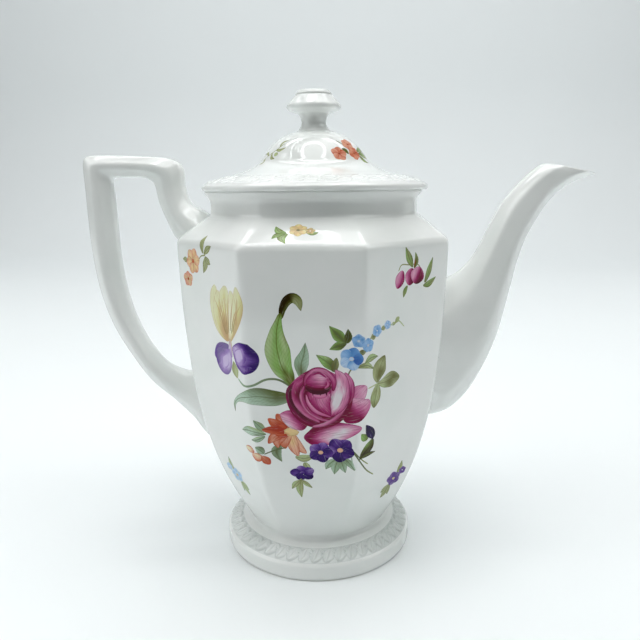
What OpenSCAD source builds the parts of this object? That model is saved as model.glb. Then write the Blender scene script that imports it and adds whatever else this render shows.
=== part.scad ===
// Eight-sided porcelain pot with a lift-off domed lid, a panelled spout and a faceted loop handle.
// Millimetres. The origin is on the pot's axis at the bottom of the foot. +Z is up, the spout
// points along +X and the handle along -X.

/* [Body] */
// Distance from the axis to a corner of the octagon, just below the shoulder
body_r = 68; // [67:0.5:69]
// Height of the shoulder's corner
shoulder_z = 158; // [156:0.5:159]
// Height where the body meets the neck
neck_base_z = 170; // [169.5:0.5:170.5]
// Thickness of the fired wall
wall = 4; // [3.5:0.25:4.5]

/* [Foot] */
// Radius of the foot's rim
foot_r = 48.6; // [47.5:0.1:49.5]
// Height where the foot meets the body's stem
waist_z = 16; // [15.5:0.5:16.5]
// Radius of the stem at the waist
waist_r = 36.6; // [36:0.1:37]

/* [Lid] */
// Radius of the neck's bore
seat_r = 47; // [46.5:0.25:47.5]
// Height of the neck's rim, where the lid rests
rim_z = 182.3; // [182:0.1:182.6]
// Radius of the lid's rim
lid_r = 54.6; // [54.2:0.1:55]
// Gap between the lid's skirt and the neck's bore
lid_gap = 0.6; // [0.4:0.1:1]
// Depth of the lid's skirt
skirt_h = 11.5; // [10:0.5:12]
// Radius of the vent hole in the dome
vent_r = 1.5; // [1:0.25:2]

/* [Spout] */
// Half of the spout's width where it leaves the body
spout_root_w = 19; // [17:0.5:20]
// Half of the spout's width at its throat
spout_throat_w = 9; // [8:0.25:10]
// Thickness of the spout's wall
spout_wall = 3; // [2.5:0.25:3.25]
// Radius of a straining hole
strain_r = 2.5; // [2:0.25:3]

/* [Handle] */
// Half of the handle's thickness, front to back
handle_w = 6.8; // [6:0.2:7.5]

/* [Hidden] */
$fn = 96;
glaze = "whitesmoke";
relief = "gainsboro";

section_n = 32;        // points round a body section, four to a facet
body_steps = 12;       // sections up the body's side
leaf_count = 24;       // leaves in each relief border
relief_h = 0.7;        // how far a border stands up
facet_cos = cos(22.5); // apothem of an octagon over its circumradius

// ---------- lofted skins ----------

// A closed solid through rings of points. A ring turns anticlockwise seen against the direction
// of the loft. With looped = true the last ring joins the first, else both ends are capped.
module loft(rings, looped = false) {
    m = len(rings);
    n = len(rings[0]);
    at = function (i, j) (i % m) * n + j % n;
    sides = [for (i = [0:m - (looped ? 1 : 2)], j = [0:n - 1])
        each [[at(i, j), at(i + 1, j), at(i + 1, j + 1)],
              [at(i, j), at(i + 1, j + 1), at(i, j + 1)]]];
    caps = looped ? [] : [[for (j = [0:n - 1]) at(0, j)],
                          [for (j = [n - 1:-1:0]) at(m - 1, j)]];
    polyhedron(points = [for (r = rings) each r], faces = concat(sides, caps), convexity = 8);
}

function mix(a, b, t) = a + (b - a) * t;
function bezier(p, t) = pow(1 - t, 3) * p[0] + 3 * t * pow(1 - t, 2) * p[1]
                      + 3 * t * t * (1 - t) * p[2] + pow(t, 3) * p[3];

// A level section of the body: an octagon of circumradius r, turned towards a circle by soft (0 to 1).
function octagon_ring(r, z, soft) = [for (j = [0:section_n - 1])
    let (a = j * 360 / section_n,
         from_facet = a - 45 * round(a / 45),
         reach = r * mix(facet_cos / cos(from_facet), 1, soft))
    [reach * cos(a), reach * sin(a), z]];

// ---------- body ----------

// Side curve of the body as [radius, height]: out of the waist, then almost upright at the shoulder.
body_side = [[waist_r, waist_z], [waist_r + 24, waist_z + 36],
             [body_r - 1.5, shoulder_z - 66], [body_r, shoulder_z - 3]];
// The neck is eight-sided outside, but softer than the body, and spreads to meet the shoulder.
neck_foot_r = 53.6;
neck_soft = 0.54;
// The shoulder from its corner in to the neck, as [radius, height, softness].
shoulder = [[body_r, shoulder_z + 0.4, 0], [body_r - 0.5, shoulder_z + 2.2, 0.02],
            [body_r - 1.9, shoulder_z + 3.9, 0.06], [body_r - 8.5, shoulder_z + 8.1, 0.32],
            [neck_foot_r, neck_base_z, neck_soft]];

// Softness of a section on the side: round at the stem, eight-sided from a third of the way up.
function side_soft(z) = pow(max(0, 1 - (z - waist_z) / 26), 1.5);
side_stations = [for (i = [0:body_steps])
    let (p = bezier(body_side, pow(i / body_steps, 1.2))) [p[0], p[1], side_soft(p[1])]];
body_stations = concat(side_stations, shoulder);

// The cavity follows the outside, one wall thickness in, from the floor to the open top.
floor_z = waist_z + wall + 1;
cavity_stations = [for (s = body_stations) if (s[1] > floor_z && s[1] < neck_base_z)
    [s[0] - wall - (s[1] > shoulder_z ? (s[1] - shoulder_z) / 7 : 0), s[1], s[2]]];
mouth_r = seat_r + 1;

// Seven straining holes, one in the middle and six round it.
strain_pitch = 9;
strain_z = 112;
strain_holes = concat([[0, 0]], [for (k = [0:5]) strain_pitch * [cos(60 * k), sin(60 * k)]]);

module body() {
    color(glaze) difference() {
        loft(concat(
            [for (s = body_stations) octagon_ring(s[0], s[1], s[2])],
            [octagon_ring(mouth_r, neck_base_z, 1)],
            [for (i = [len(cavity_stations) - 1:-1:0])
                let (s = cavity_stations[i]) octagon_ring(s[0], s[1], s[2])],
            [octagon_ring(cavity_stations[0][0] - 4, floor_z, 1)]));
        for (h = strain_holes)
            translate([body_r * 0.7, h[0], strain_z + h[1]])
                rotate([0, 90, 0]) cylinder(h = body_r * 0.4, r = strain_r);
    }
}

// ---------- neck and foot ----------

// The neck's outside as [radius, height]: in from the shoulder, then out to a lip under the lid.
neck_stations = [[neck_foot_r, neck_base_z], [52.1, neck_base_z + 1.1], [51.4, neck_base_z + 2.6],
                 [51.2, neck_base_z + 4.2], [51.2, rim_z - 5.1], [51.8, rim_z - 3.2],
                 [52.9, rim_z - 1.9], [53.9, rim_z - 0.7], [53.9, rim_z]];

module neck() {
    color(glaze) difference() {
        loft([for (s = neck_stations) octagon_ring(s[0], s[1], neck_soft)]);
        translate([0, 0, neck_base_z - 1]) cylinder(h = rim_z - neck_base_z + 2, r = seat_r);
        translate([0, 0, neck_base_z - 0.01]) cylinder(h = 1.01, r1 = mouth_r, r2 = seat_r);
    }
}

// The foot's slope, which its border lies on, as [radius, height].
foot_slope_low = [47.4, 8.6];
foot_slope_high = [40.4, 12.8];
foot_ring_r = 41;      // inner edge of the ring that the pot stands on
foot_top_r = 30;       // inner edge where the foot meets the body's floor

module foot() {
    color(glaze) rotate_extrude() polygon([
        [foot_ring_r, 0], [foot_r - 1, 0], [foot_r, 1.2], [foot_r, 6.6], [foot_r - 0.4, 7.9],
        foot_slope_low, foot_slope_high, [38.2, waist_z - 1.9], [waist_r, waist_z],
        [foot_top_r, waist_z], [foot_top_r + 3, waist_z - 4], [foot_ring_r - 1.5, 4]]);
}

// A relief border on a cone between two [radius, height] points: a low band with pointed leaves
// that lean round the axis one after another.
module border(low, high) {
    run = norm(high - low);
    slope = atan2(high[1] - low[1], low[0] - high[0]);
    up = relief_h * [sin(slope), cos(slope)];
    rotate_extrude() polygon([low, low + up / 2, high + up / 2, high]);
    for (k = [0:leaf_count - 1])
        rotate([0, 0, k * 360 / leaf_count])
            translate([(low[0] + high[0]) / 2, 0, (low[1] + high[1]) / 2])
                rotate([0, slope, 0]) rotate([0, 0, 35]) translate([0, 0, 0.1])
                    linear_extrude(relief_h) leaf_outline(run * 1.05, run * 0.45);
}

// A leaf as the overlap of two circles.
module leaf_outline(l, w) {
    r = (l * l + w * w) / (4 * w);
    intersection() {
        translate([0, r - w / 2]) circle(r);
        translate([0, w / 2 - r]) circle(r);
    }
}

module foot_border() {
    color(relief) border(foot_slope_low, foot_slope_high);
}

// ---------- spout and handle ----------

// A section with eight flat sides across the line from point a to point b, both [x, z], in the
// plane through that line and the Y axis. w is half its width and inset shrinks it on every side.
// flats is the share that stays flat of the two ends and of the two sides. The rest is bevelled.
function panel_ring(a, b, w, flats, inset = 0) =
    let (mid = (a + b) / 2, half = norm(b - a) / 2, u = (b - a) / norm(b - a),
         l = half - inset, v = w - inset, e = flats[0], s = flats[1])
    [for (c = [[1, -e], [1, e], [s, 1], [-s, 1], [-1, e], [-1, -e], [-s, -1], [s, -1]])
        [mid[0] + u[0] * c[0] * l, c[1] * v, mid[1] + u[1] * c[0] * l]];

// Spout sections from the body to the mouth: [x, z] on the upper edge, [x, z] on the lower edge,
// and how far the width has gone from the root's (0) to the throat's (1).
spout_sections = [
    [[59, 137], [52.5, 68], -0.06], [[62.6, 138.2], [59.5, 68.6], 0.04],
    [[66, 139.6], [69.5, 73.2], 0.14], [[69.2, 141.3], [79.5, 85.6], 0.28],
    [[72.8, 144.2], [89.6, 108.5], 0.48], [[77, 149.2], [96.2, 137], 0.7],
    [[81, 156.5], [98.6, 148.3], 0.82], [[85.4, 166.3], [102.2, 159.3], 0.92],
    [[90, 175.2], [106.2, 167.2], 0.98], [[96, 182.8], [110.6, 174.6], 1],
    [[102.4, 189.4], [116, 180.8], 0.98], [[106.2, 192.5], [123.6, 185.7], 0.96],
    [[108.4, 193.5], [132.3, 188.4], 1]];
spout_flats = [0.34, 0.5];

module spout() {
    outer = [for (s = spout_sections)
        panel_ring(s[0], s[1], mix(spout_root_w, spout_throat_w, s[2]), spout_flats)];
    inner = [for (i = [len(spout_sections) - 1:-1:0])
        let (s = spout_sections[i], lip = i == len(spout_sections) - 1)
        panel_ring(s[0], s[1], mix(spout_root_w, spout_throat_w, s[2]), spout_flats,
                   lip ? 1.6 : spout_wall)];
    color(glaze) loft(concat(outer, inner), looped = true);
}

// Handle sections from the lower root round to the shoulder: [x, z] on the outer edge, [x, z] on
// the inner edge, and the width as a share of the handle's.
handle_sections = [
    [[-46.5, 45], [-56.3, 88], 1.5], [[-58.5, 54.5], [-64.5, 88.6], 1.35],
    [[-65.5, 63.8], [-70, 89.2], 1.16], [[-75, 73.2], [-78.5, 93], 1.04],
    [[-87.5, 84], [-86, 101], 1.01], [[-97, 97.3], [-92, 111.5], 1],
    [[-106, 113.5], [-96.6, 124], 1], [[-111.8, 131.5], [-99.4, 137.5], 1],
    [[-114.6, 152], [-100.9, 153.5], 1], [[-115.3, 170], [-101.2, 170], 1],
    [[-115.4, 184], [-101.7, 182], 1], [[-115.2, 193.8], [-102.4, 187.6], 1],
    [[-110.6, 199.4], [-99.6, 189.3], 1], [[-101, 200], [-96.5, 189.6], 1],
    [[-84, 199.4], [-86, 189.3], 1], [[-71, 198], [-81, 187.4], 1.01],
    [[-65.6, 194], [-79.3, 184.3], 1.03], [[-64.8, 184.5], [-77.9, 177.2], 1.09],
    [[-62.2, 176.6], [-74.6, 168.8], 1.26], [[-54.8, 172], [-70.2, 159.8], 1.47],
    [[-51.5, 169], [-63.5, 155], 1.6]];
handle_flats = [0.4, 0.26];

module handle() {
    color(glaze) loft([for (s = handle_sections) panel_ring(s[0], s[1], handle_w * s[2], handle_flats)]);
}

// ---------- lid ----------

// The cover's outline is two curves: a flare from the border to the dome's side, and a bell from
// there up to the knob's foot.
knob_foot_r = 7.4;
knob_base_z = rim_z + 27.7;
flare = [[39.6, rim_z + 7.5], [32.8, rim_z + 9.3], [27.5, rim_z + 11.3], [25.7, rim_z + 14.2]];
bell = [flare[3], [21.5, rim_z + 20.9], [16.6, rim_z + 25.9], [knob_foot_r, knob_base_z]];
flare_steps = 6;
bell_steps = 12;
// The hollow under the dome is one arc.
hollow_centre = [5.5, rim_z + 8];
hollow_r = 15.8;
lid_slope_low = [53, rim_z + 3.4];
lid_slope_high = [41.5, rim_z + 6.9];
skirt_r = seat_r - lid_gap;
skirt_t = 3.4;         // thickness of the skirt

function curve(p, steps) = [for (i = [0:steps]) bezier(p, i / steps)];

module lid_cover() {
    hollow = [for (i = [0:12]) let (a = mix(90, 5, i / 12))
        hollow_centre + hollow_r * [cos(a), sin(a)]];
    color(glaze) difference() {
        rotate_extrude() polygon(concat(
            [[skirt_r - skirt_t, rim_z], [lid_r - 0.5, rim_z], [lid_r, rim_z + 0.7],
             [lid_r, rim_z + 2], [lid_r - 0.7, rim_z + 3], lid_slope_low, lid_slope_high],
            [for (i = [0:flare_steps - 1]) bezier(flare, i / flare_steps)],
            curve(bell, bell_steps), [[0, knob_base_z], [0, hollow[0][1]]],
            hollow, [[33, rim_z + 5]]));
        rotate([0, 0, 115]) translate([15.5, 0, rim_z + 12]) cylinder(h = 20, r = vent_r);
    }
}

module lid_border() {
    color(relief) border(lid_slope_low, lid_slope_high);
}

module lid_flange() {
    color(glaze) rotate_extrude() polygon([
        [skirt_r - skirt_t, rim_z], [skirt_r, rim_z], [skirt_r, rim_z - skirt_h + 1],
        [skirt_r - 1, rim_z - skirt_h], [skirt_r - skirt_t, rim_z - skirt_h]]);
}

module lid_knob() {
    color(glaze) translate([0, 0, knob_base_z]) rotate_extrude() polygon([
        [0, 0], [knob_foot_r, 0], [6.8, 1.6], [6, 3.6], [5.7, 5.5], [6.1, 7.7], [7.6, 9.3],
        [10.2, 10.5], [12.4, 11.6], [13, 12.6], [12.3, 13.5], [10.6, 15.1], [8.7, 16.7],
        [7.5, 17.9], [6.2, 18.5], [3, 18.8], [0, 18.85]]);
}

body();
neck();
foot();
foot_border();
spout();
handle();
lid_cover();
lid_border();
lid_flange();
lid_knob();
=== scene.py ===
"""Looks of the eight-sided porcelain pot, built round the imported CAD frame."""
import math

import bmesh
import bpy
import numpy as np
from mathutils import Matrix, Vector


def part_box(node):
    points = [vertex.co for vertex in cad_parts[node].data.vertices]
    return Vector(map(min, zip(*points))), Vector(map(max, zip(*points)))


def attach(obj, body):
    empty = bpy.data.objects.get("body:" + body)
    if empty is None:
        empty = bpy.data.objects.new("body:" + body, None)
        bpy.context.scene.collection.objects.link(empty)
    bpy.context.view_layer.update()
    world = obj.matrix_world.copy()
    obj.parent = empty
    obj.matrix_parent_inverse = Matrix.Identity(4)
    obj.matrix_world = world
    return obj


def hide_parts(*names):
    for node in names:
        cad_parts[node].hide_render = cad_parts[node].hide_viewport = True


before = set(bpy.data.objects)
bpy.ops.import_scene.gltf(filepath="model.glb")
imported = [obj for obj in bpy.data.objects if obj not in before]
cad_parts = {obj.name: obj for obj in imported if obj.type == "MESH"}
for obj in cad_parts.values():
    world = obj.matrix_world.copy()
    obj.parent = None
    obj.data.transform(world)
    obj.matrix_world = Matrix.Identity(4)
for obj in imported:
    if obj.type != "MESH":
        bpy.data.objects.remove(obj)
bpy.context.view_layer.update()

# ---------------------------------------------------------------- sizes
# Shapes below are worked out in millimetres and turned into metres when a mesh is made.
MM = 0.001


def box_mm(node):
    """Lowest and highest corner of a CAD node, in millimetres."""
    low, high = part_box(node)
    return np.array(low) / MM, np.array(high) / MM


body_low, body_high = box_mm("body")
flange_low, flange_high = box_mm("lid_flange")
neck_high, foot_high, cover_high = (box_mm(node)[1] for node in ("neck", "foot", "lid_cover"))
knob_base_z = box_mm("lid_knob")[0][2]

FACET_COS = math.cos(math.pi / 8)      # apothem of an octagon over its circumradius
CORNER_SHARPNESS = 85                  # higher is a sharper corner between two facets
body_r = body_high[1] / FACET_COS      # axis to the body's corner
waist_z, neck_base_z = body_low[2], body_high[2]
shoulder_z = neck_base_z - 9.6         # where the shoulder's slope would meet the side
rim_z = neck_high[2]                   # the neck's rim, where the lid rests
foot_r = foot_high[0]
lid_r = cover_high[0]
waist_r = 36.6                         # the stem between the body and the foot
seat_r = 47.0                          # the neck's bore
WALL = 4.0
SKIRT_WALL = 3.4                       # thickness of the lid's skirt
# The straining holes behind the spout, and the vent in the lid's dome.
STRAIN_Z, STRAIN_PITCH, STRAIN_R = 112, 9, 2.5
VENT_ANGLE, VENT_FROM_AXIS, VENT_R = math.radians(115), 15.5, 1.5


# ---------------------------------------------------------------- curves
def smooth(low, high, x):
    """0 below low, 1 above high, and an even S between them."""
    t = np.clip((x - low) / (high - low), 0, 1)
    return t * t * (3 - 2 * t)


def mix(a, b, t):
    return a + (b - a) * t


def bezier(points, steps):
    """A cubic Bezier through four control points."""
    a, b, c, d = (np.array(p, float) for p in points)
    t = np.linspace(0, 1, steps)[:, None]
    return (1 - t) ** 3 * a + 3 * t * (1 - t) ** 2 * b + 3 * t * t * (1 - t) * c + t ** 3 * d


def filleted(points, step=0.35):
    """A line through [r, z] or [r, z, fillet] points, with each corner rounded by its fillet radius."""
    pts = [np.array(p[:2], float) for p in points]
    radii = [p[2] if len(p) > 2 else 0 for p in points]
    line = [pts[0]]
    for before, corner, after, radius in zip(pts, pts[1:], pts[2:], radii[1:-1]):
        a, b = before - corner, after - corner
        la, lb = np.linalg.norm(a), np.linalg.norm(b)
        a, b = a / la, b / lb
        half = math.acos(np.clip(a @ b, -1, 1)) / 2
        if radius <= 0 or half > math.pi / 2 - 0.01:
            line.append(corner)
            continue
        cut = min(radius / math.tan(half), 0.49 * la, 0.49 * lb)
        radius = cut * math.tan(half)
        steps = max(3, int(radius * (math.pi - 2 * half) / step))
        centre = corner + (a + b) / np.linalg.norm(a + b) * radius / math.sin(half)
        start, end = corner + a * cut - centre, corner + b * cut - centre
        turn = math.acos(np.clip(start @ end / radius ** 2, -1, 1))
        for i in range(steps + 1):
            t = i / steps
            line.append(centre + (math.sin((1 - t) * turn) * start + math.sin(t * turn) * end)
                        / math.sin(turn))
    line.append(pts[-1])
    return np.array(line)


def spaced(line, step):
    """The same line with points no further apart than step."""
    out = [line[0]]
    for a, b in zip(line, line[1:]):
        n = max(1, math.ceil(np.linalg.norm(b - a) / step))
        out += [a + (b - a) * i / n for i in range(1, n + 1)]
    return np.array(out)


def spline(rows, per_span):
    """A Catmull-Rom curve through rows of numbers."""
    rows = np.array(rows, float)
    ends = np.vstack([2 * rows[0] - rows[1], rows, 2 * rows[-1] - rows[-2]])
    t = np.linspace(0, 1, per_span, endpoint=False)[:, None]
    spans = []
    for p0, p1, p2, p3 in zip(ends, ends[1:], ends[2:], ends[3:]):
        spans.append(0.5 * (2 * p1 + (p2 - p0) * t + (2 * p0 - 5 * p1 + 4 * p2 - p3) * t ** 2
                            + (3 * p1 - p0 - 3 * p2 + p3) * t ** 3))
    return np.vstack(spans + [rows[-1:]])


# ---------------------------------------------------------------- meshes
def add_object(name, data):
    obj = bpy.data.objects.new(name, data)
    bpy.context.scene.collection.objects.link(obj)
    return obj


def swept(r, angle, z):
    """Points at a radius, an angle round the axis and a height."""
    return np.stack(np.broadcast_arrays(r * np.cos(angle), r * np.sin(angle), z), -1)


def mesh_object(name, points_mm, faces, body, normals=None):
    """A smooth-shaded mesh that rides on a body."""
    mesh = bpy.data.meshes.new(name)
    mesh.from_pydata((np.asarray(points_mm) * MM).tolist(), [], faces)
    mesh.validate()
    mesh.polygons.foreach_set("use_smooth", [True] * len(mesh.polygons))
    if normals is not None:
        mesh.normals_split_custom_set_from_vertices(normals.tolist())
    obj = add_object(name, mesh)
    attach(obj, body)
    return obj


def grid_faces(rows, cols, first=0, close_rows=False, close_cols=True):
    """Quads over a grid of points, with the last column or row joined to the first where closed."""
    i, j = np.meshgrid(np.arange(rows if close_rows else rows - 1),
                       np.arange(cols if close_cols else cols - 1), indexing="ij")
    up, right = (i + 1) % rows, (j + 1) % cols
    quads = np.stack([i * cols + j, i * cols + right, up * cols + right, up * cols + j], -1)
    return (quads.reshape(-1, 4) + first).tolist()


def turned(name, profile, body, around=256, shape=None):
    """A solid swept round the Z axis. The profile runs anticlockwise in (r, z); where it starts and
    ends on the axis it is closed there by poles, else it closes on itself. shape(angle, row) scales
    the radius."""
    profile = np.asarray(profile, float)
    poles = profile[0][0] < 1e-6 and profile[-1][0] < 1e-6
    rings = profile[1:-1] if poles else profile
    angle = np.linspace(0, 2 * math.pi, around, endpoint=False)
    scale = np.ones((len(rings), around)) if shape is None else shape(angle, rings)
    points = swept(rings[:, :1] * scale, angle, rings[:, 1:2]).reshape(-1, 3)
    faces = grid_faces(len(rings), around, close_rows=not poles)
    if poles:
        points = np.vstack([points, [[0, 0, profile[0][1]], [0, 0, profile[-1][1]]]])
        start, end = len(points) - 2, len(points) - 1
        last = (len(rings) - 1) * around
        faces += [[start, (j + 1) % around, j] for j in range(around)]
        faces += [[end, last + j, last + (j + 1) % around] for j in range(around)]
    return mesh_object(name, points, faces, body)


# ---------------------------------------------------------------- the pot's outside
def octagon(angle):
    """Radius of an octagon of circumradius 1 with softened corners, facets facing +X and so on."""
    from_facet = angle[..., None] - np.arange(8) * math.pi / 4
    toward = np.maximum(np.cos(from_facet), 0) ** CORNER_SHARPNESS
    return FACET_COS * toward.sum(-1) ** (-1 / CORNER_SHARPNESS)


STEM_BLEND = 26       # height over which the round stem turns eight-sided
NECK_SOFTNESS = 0.55


def softness(z):
    """How round the section is at a height: 1 at the stem, 0 on the side, about half at the neck."""
    stem = np.maximum(0, 1 - (z - waist_z) / STEM_BLEND) ** 1.5
    return np.maximum(stem, NECK_SOFTNESS * smooth(shoulder_z - 1, neck_base_z + 1, z))


def eight_sided(angle, rings):
    """Radius scale of the pot's sections, for turned()."""
    return mix(octagon(angle)[None, :], 1.0, softness(rings[:, 1:2]))


side = bezier([(waist_r, waist_z), (waist_r + 24, waist_z + 36),
               (body_r - 1.5, shoulder_z - 68.4), (body_r, shoulder_z - 5.4)], 140)
FOOT_SLOPE_LOW, FOOT_SLOPE_HIGH = (47.5, 8.9), (40.4, 12.8)
from_stem = side[np.searchsorted(side[:, 1], waist_z + 4):]
pot_outline = np.vstack([
    filleted([FOOT_SLOPE_HIGH, (waist_r - 0.8, waist_z - 1.2, 3.6), from_stem[0]], 0.3)[:-1],
    from_stem[:-1],
    filleted([from_stem[-1], (body_r, shoulder_z + 0.2, 4.2), (51.2, neck_base_z + 1.6, 2.4),
              (51.2, neck_base_z + 8.2, 5), (53.9, rim_z - 0.8, 0.8), (53.9, rim_z)], 0.3)])
pot_outline = spaced(pot_outline, 0.7)
HIDDEN = 0.15      # how far a piece's edge dips under its neighbour, so that no seam shows


def outline_between(low, high):
    """The pot's outline between two heights. Its ends run on 1.5 mm, dipping under the neighbours."""
    part = pot_outline[(pot_outline[:, 1] > low - 1.5) & (pot_outline[:, 1] < high + 1.5)].copy()
    beyond = np.maximum(low - part[:, 1], part[:, 1] - high)
    part[:, 0] -= HIDDEN * np.clip(beyond, -0.3, 0.7) + HIDDEN * 0.3
    return part


def pierce(obj, holes, radius, depth, out):
    """Drills round holes that start at points in millimetres and run depth along out."""
    drill = bmesh.new()
    turn = Vector(out).to_track_quat("Z", "Y").to_matrix().to_4x4()
    size = dict(radius1=radius * MM, radius2=radius * MM, depth=depth * MM)
    for place in holes:
        middle = (Vector(place) + Vector(out) * depth / 2) * MM
        bmesh.ops.create_cone(drill, cap_ends=True, segments=32,
                              matrix=Matrix.Translation(middle) @ turn, **size)
    mesh = bpy.data.meshes.new("drill")
    drill.to_mesh(mesh)
    drill.free()
    cutter = add_object("drill", mesh)
    cut = obj.modifiers.new("holes", "BOOLEAN")
    cut.object, cut.solver = cutter, "EXACT"
    evaluated = obj.evaluated_get(bpy.context.evaluated_depsgraph_get())
    pierced = bpy.data.meshes.new_from_object(evaluated)
    obj.modifiers.clear()
    obj.data = pierced
    obj.data.set_sharp_from_angle(angle=math.radians(50))
    bpy.data.objects.remove(cutter)


def build_pot_shell():
    """The body and the neck, each a closed shell. They share one outline, so it runs on unbroken."""
    outside = outline_between(waist_z, neck_base_z)
    cavity = np.array([(r - WALL - max(0, z - shoulder_z) / 4, z) for r, z in pot_outline
                       if waist_z + WALL + 3 < z < neck_base_z])
    floor_z = waist_z + WALL
    floor = filleted([(0, floor_z), (cavity[0][0] - 4, floor_z, 3), tuple(cavity[0])], 1)
    inside = np.vstack([floor[:-1], cavity])[::-1]
    shell = np.vstack([[(0, outside[0][1])], outside, [(seat_r + 1, outside[-1][1])], inside])
    body = turned("body_shell", spaced(shell, 2.5), "pot", around=320, shape=eight_sided)
    # the holes that strain the drink, one in the middle and six round it
    sixths = [k * math.pi / 3 for k in range(6)]
    spots = [(0, 0)] + [(STRAIN_PITCH * math.cos(a), STRAIN_PITCH * math.sin(a)) for a in sixths]
    pierce(body, [(48, y, STRAIN_Z + z) for y, z in spots], STRAIN_R, 26, (1, 0, 0))
    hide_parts("body")

    collar = outline_between(neck_base_z, rim_z)
    bore = filleted([tuple(collar[-1]), (seat_r, rim_z, 0.6), (seat_r, collar[0][1]),
                     tuple(collar[0])], 0.3)

    def round_inside(angle, rings):
        return mix(1.0, eight_sided(angle, rings), smooth(seat_r + 1, seat_r + 5, rings[:, :1]))

    neck = turned("neck_collar", spaced(np.vstack([collar, bore[1:-1]]), 1.2), "pot", around=320,
                  shape=round_inside)
    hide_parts("neck")
    return body, neck


# Leaves in one repeat of a border: (centre along, centre across, length, width, lean in radians).
# The first and third are shares of the repeat's length, the second and fourth of the border's width.
LID_LEAVES = [(-0.25, 0.14, 0.62, 0.46, 0.5), (0.25, -0.14, 0.62, 0.46, 0.5),
              (0.02, 0.3, 0.34, 0.26, -0.5), (-0.48, -0.3, 0.34, 0.26, -0.5),
              (0.52, -0.3, 0.34, 0.26, -0.5)]
FOOT_LEAVES = [(-0.27, -0.02, 0.72, 0.66, 1.2), (0.23, -0.02, 0.72, 0.66, 1.2),
               (-0.02, 0.26, 0.34, 0.3, -0.9), (0.48, 0.26, 0.34, 0.3, -0.9)]


def relief(x, y, length, width, leaves):
    """Height of a repeating leaf border, 0 to 1, at x along it and y across it, both in mm."""
    x = np.mod(x, length) - length / 2
    vine_y = 0.2 * width * np.sin(2 * math.pi * x / length)
    height = 0.55 * np.clip(1 - ((y - vine_y) / (0.09 * width)) ** 2, 0, 1) ** 0.5
    for cx, cy, long, wide, lean in leaves:
        for wrap in (-1, 0, 1):
            dx, dy = x - (cx + wrap) * length, y - cy * width
            along = (dx * math.cos(lean) + dy * math.sin(lean)) / (long * length / 2)
            half = wide * width / 2 * np.clip(1 - along ** 2, 0.001, 1)
            across = (dy * math.cos(lean) - dx * math.sin(lean)) / half
            leaf = np.where(np.abs(along) < 1, np.clip(1 - across ** 2, 0, 1) ** 0.6, 0)
            rib = 1 - 0.35 * np.exp(-(across / 0.16) ** 2)
            height = np.maximum(height, leaf * rib * np.clip((1 - along ** 2) * 2.5, 0, 1))
    return height


def build_border(name, node, body, low, high, count, rise, leaves):
    """A relief border on the cone from low to high, [r, z] at its outer and inner edge. count is how
    many times it repeats and rise its relief in millimetres."""
    low, high = np.array(low, float), np.array(high, float)
    width = np.linalg.norm(high - low)
    out = np.array([high[1] - low[1], low[0] - high[0]]) / width
    around, across = 1600, 34
    angle = np.linspace(0, 2 * math.pi, around, endpoint=False)
    t = np.linspace(0, 1, across)
    mean_r = (low[0] + high[0]) / 2
    height = relief(angle[None, :] * mean_r, (t[:, None] - 0.5) * width,
                    2 * math.pi * mean_r / count, width, leaves)
    edge = np.clip(np.minimum(t, 1 - t) * 9, 0, 1)[:, None]
    lift = (0.12 + rise * height) * edge + 0.02
    top = swept(mix(low[0], high[0], t)[:, None] + out[0] * lift, angle,
                mix(low[1], high[1], t)[:, None] + out[1] * lift)
    under = [swept(r, angle, z) for r, z in (high - out * 0.6, low - out * 0.6)]
    points = np.concatenate([top, under]).reshape(-1, 3)
    faces = grid_faces(across + 2, around, close_rows=True)
    border = mesh_object(name, points, faces, body)
    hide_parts(node)
    return border


def build_foot():
    """The pedestal with its unglazed standing ring, and the border on its slope."""
    ring = filleted([
        (30, waist_z + 1), (33, waist_z - 4, 2), (39.5, 4, 2), (41.2, 0, 0.5),
        (foot_r - 0.7, 0, 0.9), (foot_r, 1.6, 2), (foot_r, 7.6, 1.3), (*FOOT_SLOPE_LOW, 0.6),
        FOOT_SLOPE_HIGH], 0.3)
    stem = outline_between(FOOT_SLOPE_HIGH[1] + 1.6, waist_z)
    stem = stem[stem[:, 1] > FOOT_SLOPE_HIGH[1] + 0.1]
    foot = turned("foot_pedestal", spaced(np.vstack([ring, stem]), 0.8), "pot", around=256)
    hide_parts("foot")
    border = build_border("foot_leaf_border", "foot_border", "pot",
                          FOOT_SLOPE_LOW, FOOT_SLOPE_HIGH, 24, 0.85, FOOT_LEAVES)
    return foot, border


# ---------------------------------------------------------------- spout and handle
def panelled(stations, flat_end, flat_side, inset=0.0, steps=72, sharp=26):
    """Rings through [upper x, z, lower x, z, half width] stations, with softened facets. flat_end
    and flat_side are how much of a ring's ends and sides the flat facets take up."""
    rows = np.asarray(stations, float)
    a, b = rows[:, 0:2], rows[:, 2:4]
    span = b - a
    length = np.linalg.norm(span, axis=1)
    u = span / length[:, None]
    half = (length / 2 - inset)[:, None]
    wide = (rows[:, 4] - inset)[:, None]
    mid = (a + b) / 2
    angle = np.linspace(0, 2 * math.pi, steps, endpoint=False)[None, :]
    dx, dy = np.cos(angle), np.sin(angle)
    # the directions are scaled to the section first, which spreads the points evenly
    dx, dy = dx * half, dy * wide
    norm = np.hypot(dx, dy)
    dx, dy = dx / norm, dy / norm
    # facets: the two ends, the two sides, and four bevels between them
    bevel_x = (1 - flat_end) * wide
    bevel_y = (1 - flat_side) * half
    bevel_d = half * bevel_x + flat_end * wide * bevel_y
    reach = (np.abs(dx) / half) ** sharp + (np.abs(dy) / wide) ** sharp
    reach = reach + ((np.abs(dx) * bevel_x + np.abs(dy) * bevel_y) / bevel_d) ** sharp
    r = reach ** (-1 / sharp)
    x = mid[:, :1] + u[:, :1] * dx * r
    z = mid[:, 1:] + u[:, 1:] * dx * r
    return np.stack([x, dy * r, z], -1)


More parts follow.
